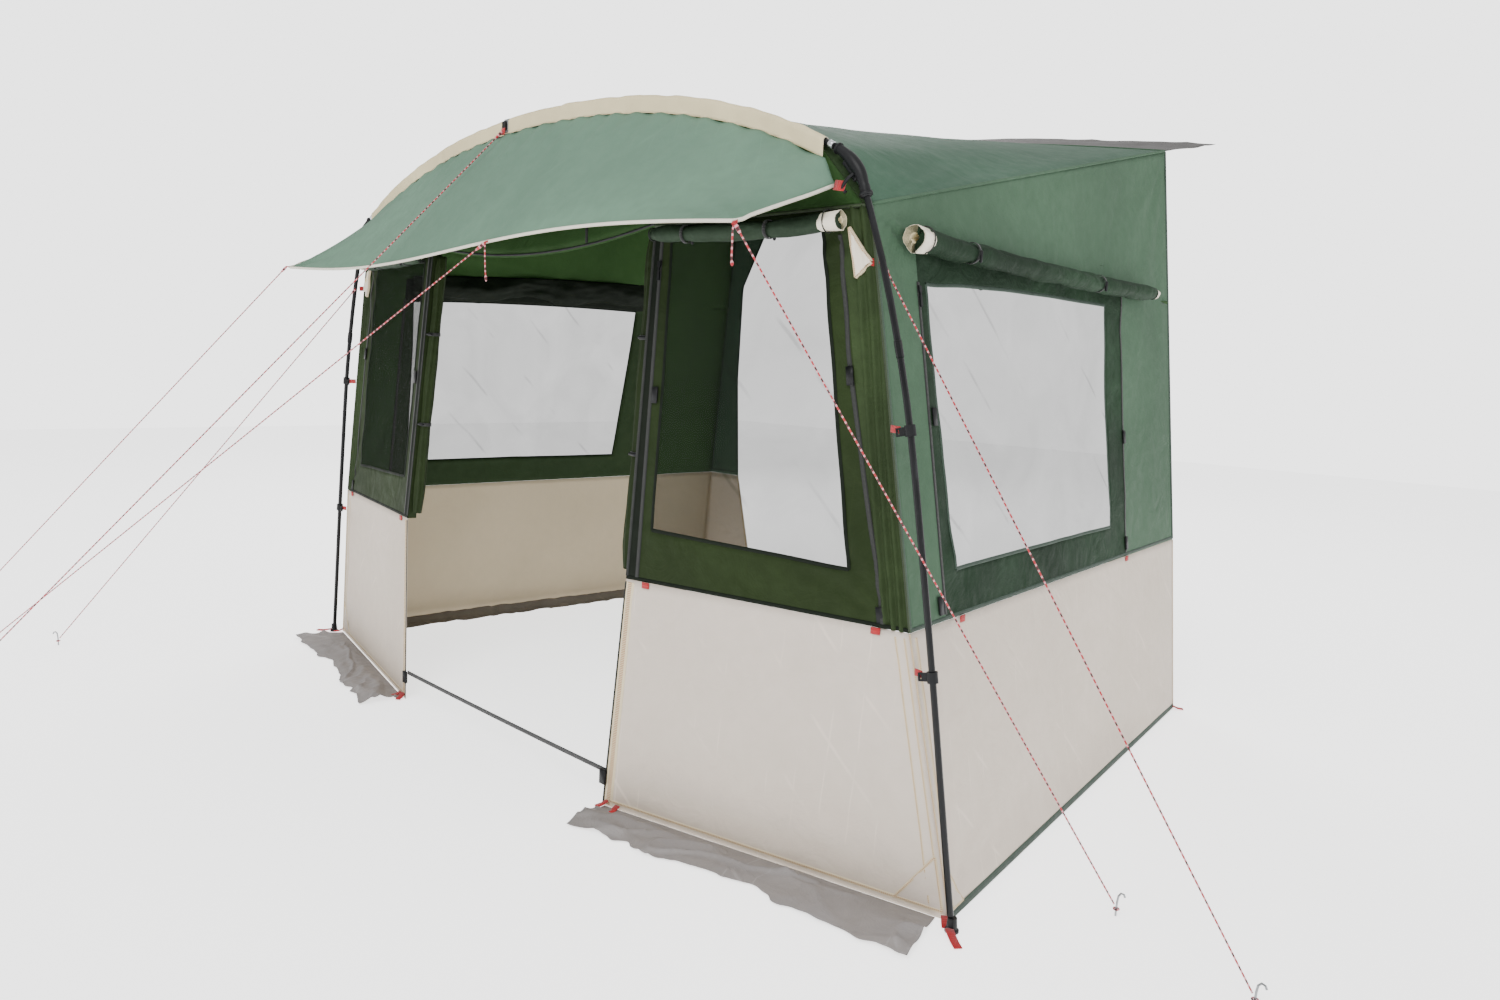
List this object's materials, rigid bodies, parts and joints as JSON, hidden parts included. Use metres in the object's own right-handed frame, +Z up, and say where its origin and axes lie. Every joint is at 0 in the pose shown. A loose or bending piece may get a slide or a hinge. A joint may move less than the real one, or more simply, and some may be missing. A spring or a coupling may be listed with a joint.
{
  "type": "screen house",
  "caption": "Arched awning shelter with mesh windows, rolled blinds, beige skirts, an open front doorway, a front visor on guy lines and an open rear that joins a vehicle.",
  "frame": {"origin": "centre of the bounding box of the shelter without its guy lines and pegs, at ground level", "axes": "+Z up, -Y towards the front doorway and visor, +Y towards the vehicle, +X to the right seen from behind the vehicle looking out of the front, which is the right of a viewer who faces the front"},
  "size_m": [4.7172, 3.8647, 2.362],
  "materials": {
    "black_steel": "satin black",
    "black_plastic": "matte",
    "sage_cloth": "coated polyester, slight sheen",
    "green_cloth": "coated polyester, slight sheen",
    "olive_cloth": "coated polyester, slight sheen",
    "beige_cloth": "coated polyester, slight sheen",
    "cream_cloth": "coated polyester",
    "grey_cloth": "thin coated polyester, creased",
    "mesh_cloth": "fine see-through insect mesh",
    "black_webbing": "woven webbing",
    "red_cord": "braided, with dark and white flecks",
    "peg_steel": "zinc plated",
    "red_webbing": "woven webbing",
    "white_piping": "folded binding tape",
    "green_piping": "folded binding tape",
    "bright_steel": "bare ferrule",
    "dark_thread": "stitching"
  },
  "bodies": {
    "shelter": {"arch_pole": "black_steel", "leg_lower_right": "black_steel", "leg_upper_right": "black_steel", "elbow_right": "black_plastic", "foot_right": "black_plastic", "leg_lower_left": "black_steel", "leg_upper_left": "black_steel", "elbow_left": "black_plastic", "foot_left": "black_plastic", "arch_band": "cream_cloth", "arch_clip": "black_plastic", "roof": "green_cloth", "visor": "sage_cloth", "side_wall_right": "green_cloth", "side_mesh_right": "mesh_cloth", "side_skirt_right": "beige_cloth", "front_wall_right": "olive_cloth", "front_mesh_right": "mesh_cloth", "front_skirt_right": "beige_cloth", "side_wall_left": "green_cloth", "side_mesh_left": "mesh_cloth", "side_skirt_left": "beige_cloth", "front_wall_left": "olive_cloth", "front_mesh_left": "mesh_cloth", "front_skirt_left": "beige_cloth", "front_header": "olive_cloth", "rear_wall_right": "green_cloth", "rear_skirt_right": "beige_cloth", "rear_wall_left": "green_cloth", "rear_skirt_left": "beige_cloth", "rear_header": "green_cloth", "rear_strip": "grey_cloth", "side_blind_right": "olive_cloth", "front_blind_right": "olive_cloth", "door_roll_right": "olive_cloth", "side_blind_left": "olive_cloth", "front_blind_left": "olive_cloth", "door_roll_left": "olive_cloth", "threshold_strap": "black_webbing", "guy_line_arch": "red_cord", "peg_arch": "peg_steel", "guy_line_visor_left": "red_cord", "peg_visor_left": "peg_steel", "guy_line_visor_middle": "red_cord", "peg_visor_middle": "peg_steel", "guy_line_visor_right": "red_cord", "peg_visor_right": "peg_steel", "guy_line_side_left": "red_cord", "peg_side_left": "peg_steel", "guy_line_side_right": "red_cord", "peg_side_right": "peg_steel"},
    "mud_flap_left": {"mud_flap_left": "grey_cloth"},
    "mud_flap_right": {"mud_flap_right": "grey_cloth"},
    "side_zip_left": {"side_zip_slider_left": "black_plastic"},
    "side_zip_right": {"side_zip_slider_right": "black_plastic"},
    "door_zip": {"door_zip_slider": "black_plastic"},
    "clip_upper_left": {"pole_clip_upper_left": "black_plastic"},
    "clip_upper_right": {"pole_clip_upper_right": "black_plastic"},
    "clip_lower_left": {"pole_clip_lower_left": "black_plastic"},
    "clip_lower_right": {"pole_clip_lower_right": "black_plastic"}
  },
  "joints": [
    {"name": "mud_flap_right_lift", "type": "hinge", "parent": "shelter", "child": "mud_flap_right", "pos_m": [1.0925, -1.03835, 0.00125], "axis": [-0.977, -0.2132, 0], "range_deg": [0, 55]},
    {"name": "mud_flap_left_lift", "type": "hinge", "parent": "shelter", "child": "mud_flap_left", "pos_m": [-1.0925, -1.03835, 0.00125], "axis": [-0.977, 0.2132, 0], "range_deg": [0, 55]},
    {"name": "side_zip_right_slide", "type": "slide", "parent": "shelter", "child": "side_zip_right", "axis": [0.1783, -0.0055, -0.984], "range_m": [0, 0.7227]},
    {"name": "side_zip_left_slide", "type": "slide", "parent": "shelter", "child": "side_zip_left", "axis": [-0.1783, -0.0055, -0.984], "range_m": [0, 0.7227]},
    {"name": "door_zip_slide", "type": "slide", "parent": "shelter", "child": "door_zip", "axis": [0.0322, -0.0903, -0.9954], "range_m": [0, 0.7981]},
    {"name": "clip_upper_right_turn", "type": "hinge", "parent": "shelter", "child": "clip_upper_right", "pos_m": [1.45, -0.96521, 1.14], "axis": [-0.2033, -0.0117, 0.979], "range_deg": [-20, 20]},
    {"name": "clip_upper_left_turn", "type": "hinge", "parent": "shelter", "child": "clip_upper_left", "pos_m": [-1.45, -0.96521, 1.14], "axis": [0.2033, -0.0117, 0.979], "range_deg": [-20, 20]},
    {"name": "clip_lower_right_turn", "type": "hinge", "parent": "shelter", "child": "clip_lower_right", "pos_m": [1.548, -0.95856, 0.583], "axis": [-0.1612, -0.0118, 0.9869], "range_deg": [-20, 20]},
    {"name": "clip_lower_left_turn", "type": "hinge", "parent": "shelter", "child": "clip_lower_left", "pos_m": [-1.548, -0.95856, 0.583], "axis": [0.1612, -0.0118, 0.9869], "range_deg": [-20, 20]}
  ]
}
